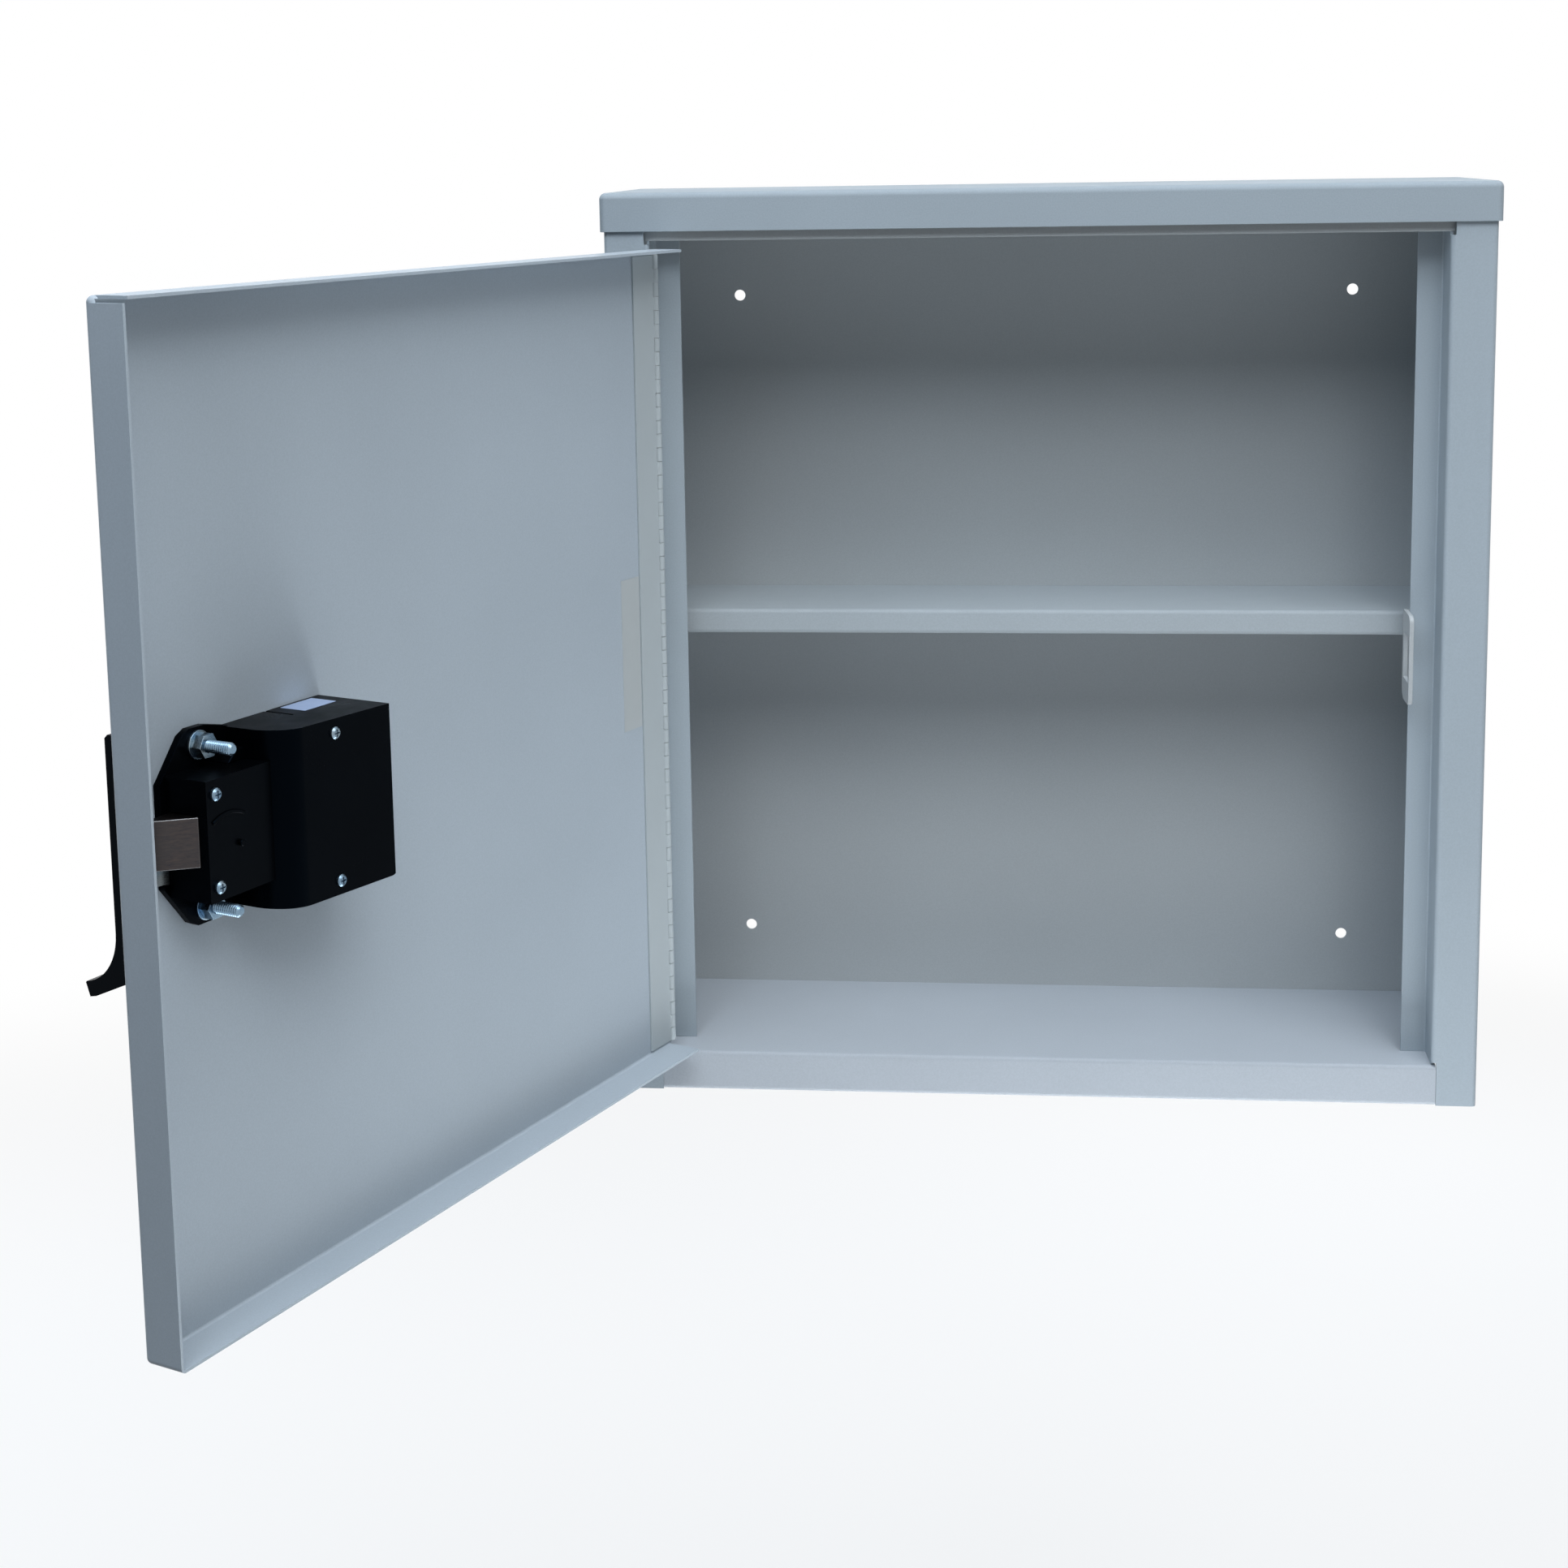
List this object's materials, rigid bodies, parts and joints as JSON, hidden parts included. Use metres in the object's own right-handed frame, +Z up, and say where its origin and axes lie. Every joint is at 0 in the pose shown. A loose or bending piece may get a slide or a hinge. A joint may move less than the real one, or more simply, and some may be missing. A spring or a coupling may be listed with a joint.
{
  "type": "lockable medicine cabinet",
  "caption": "Wall-mounted folded steel cabinet with one shelf, a long hinged door and a keypad lock with a sprung latch bolt inside the door.",
  "frame": {"origin": "centre of the four wall holes on the outer face of the back panel", "axes": "+X to the right seen from the front, +Y into the wall, +Z up; the door opening faces -Y"},
  "size_m": [0.5556, 0.4438, 0.434],
  "materials": {
    "body_steel": "semi-gloss pale blue-grey powder coat with a faint orange peel",
    "inner_steel": "the same pale powder coat inside the cabinet",
    "hinge_steel": "painted over with the door, bare at the rubbing edges of the knuckles",
    "pin_steel": "plain drawn steel",
    "zinc": "bright bluish zinc plate with light scratches",
    "latch_steel": "dark brushed steel with bright worn edges",
    "black_gloss": "glossy moulded black plastic",
    "black_matte": "fine-textured black plastic",
    "gasket_foam": "closed-cell black foam",
    "key_plastic": "pale satin plastic with a plain dark number",
    "label": "blank white film",
    "lamp": "dark red translucent window",
    "cell_wrap": "plain printed-film wrap, no name",
    "circuit_board": "green solder mask"
  },
  "bodies": {
    "cabinet": {"side_left": "body_steel", "side_right": "body_steel", "back_panel": "inner_steel", "bottom_panel": "inner_steel", "top_panel": "inner_steel", "cap": "body_steel", "shelf": "inner_steel", "shelf_supports": "inner_steel", "strike": "inner_steel", "hinge_leaf_frame": "hinge_steel", "hinge_pin": "pin_steel"},
    "door": {"door_panel": "body_steel", "hinge_leaf_door": "hinge_steel", "door_label": "label", "lock_base": "black_gloss", "lock_case": "black_gloss", "lock_label": "label", "cover_screws": "zinc", "lock_cells": "cell_wrap", "lock_board": "circuit_board", "studs": "zinc", "nuts": "zinc", "washers": "zinc", "gasket": "gasket_foam", "pull_housing": "black_gloss", "keypad_plate": "black_matte", "keypad_board": "circuit_board", "lamp_window": "lamp"},
    "bolt": {"latch_bolt": "latch_steel"},
    "plunger": {"plunger": "zinc"},
    "key_1": {"key_1": "key_plastic"},
    "key_2": {"key_2": "key_plastic"},
    "key_3": {"key_3": "key_plastic"},
    "key_4": {"key_4": "key_plastic"},
    "key_5": {"key_5": "key_plastic"},
    "key_6": {"key_6": "key_plastic"},
    "key_7": {"key_7": "key_plastic"},
    "key_8": {"key_8": "key_plastic"},
    "key_9": {"key_9": "key_plastic"},
    "key_10": {"key_10": "key_plastic"},
    "key_11": {"key_11": "key_plastic"},
    "key_12": {"key_12": "key_plastic"}
  },
  "joints": [
    {"name": "door_hinge", "type": "hinge", "parent": "cabinet", "child": "door", "pos_m": [-0.18015, -0.1058, 0], "axis": [0, 0, -1], "range_deg": [-113.4, 5]},
    {"name": "bolt_slide", "type": "slide", "parent": "door", "child": "bolt", "axis": [0.3971, 0.9178, 0], "range_m": [0, 0.0065], "stiffness_N_per_m": 900, "springref_m": -0.003},
    {"name": "plunger_slide", "type": "slide", "parent": "door", "child": "plunger", "axis": [0.3971, 0.9178, 0], "range_m": [0, 0.003], "stiffness_N_per_m": 300, "springref_m": -0.002},
    {"name": "key_1_press", "type": "slide", "parent": "door", "child": "key_1", "axis": [0.9178, -0.3971, 0], "range_m": [0, 0.0008], "stiffness_N_per_m": 1500, "springref_m": -0.0004},
    {"name": "key_2_press", "type": "slide", "parent": "door", "child": "key_2", "axis": [0.9178, -0.3971, 0], "range_m": [0, 0.0008], "stiffness_N_per_m": 1500, "springref_m": -0.0004},
    {"name": "key_3_press", "type": "slide", "parent": "door", "child": "key_3", "axis": [0.9178, -0.3971, 0], "range_m": [0, 0.0008], "stiffness_N_per_m": 1500, "springref_m": -0.0004},
    {"name": "key_4_press", "type": "slide", "parent": "door", "child": "key_4", "axis": [0.9178, -0.3971, 0], "range_m": [0, 0.0008], "stiffness_N_per_m": 1500, "springref_m": -0.0004},
    {"name": "key_5_press", "type": "slide", "parent": "door", "child": "key_5", "axis": [0.9178, -0.3971, 0], "range_m": [0, 0.0008], "stiffness_N_per_m": 1500, "springref_m": -0.0004},
    {"name": "key_6_press", "type": "slide", "parent": "door", "child": "key_6", "axis": [0.9178, -0.3971, 0], "range_m": [0, 0.0008], "stiffness_N_per_m": 1500, "springref_m": -0.0004},
    {"name": "key_7_press", "type": "slide", "parent": "door", "child": "key_7", "axis": [0.9178, -0.3971, 0], "range_m": [0, 0.0008], "stiffness_N_per_m": 1500, "springref_m": -0.0004},
    {"name": "key_8_press", "type": "slide", "parent": "door", "child": "key_8", "axis": [0.9178, -0.3971, 0], "range_m": [0, 0.0008], "stiffness_N_per_m": 1500, "springref_m": -0.0004},
    {"name": "key_9_press", "type": "slide", "parent": "door", "child": "key_9", "axis": [0.9178, -0.3971, 0], "range_m": [0, 0.0008], "stiffness_N_per_m": 1500, "springref_m": -0.0004},
    {"name": "key_10_press", "type": "slide", "parent": "door", "child": "key_10", "axis": [0.9178, -0.3971, 0], "range_m": [0, 0.0008], "stiffness_N_per_m": 1500, "springref_m": -0.0004},
    {"name": "key_11_press", "type": "slide", "parent": "door", "child": "key_11", "axis": [0.9178, -0.3971, 0], "range_m": [0, 0.0008], "stiffness_N_per_m": 1500, "springref_m": -0.0004},
    {"name": "key_12_press", "type": "slide", "parent": "door", "child": "key_12", "axis": [0.9178, -0.3971, 0], "range_m": [0, 0.0008], "stiffness_N_per_m": 1500, "springref_m": -0.0004}
  ]
}
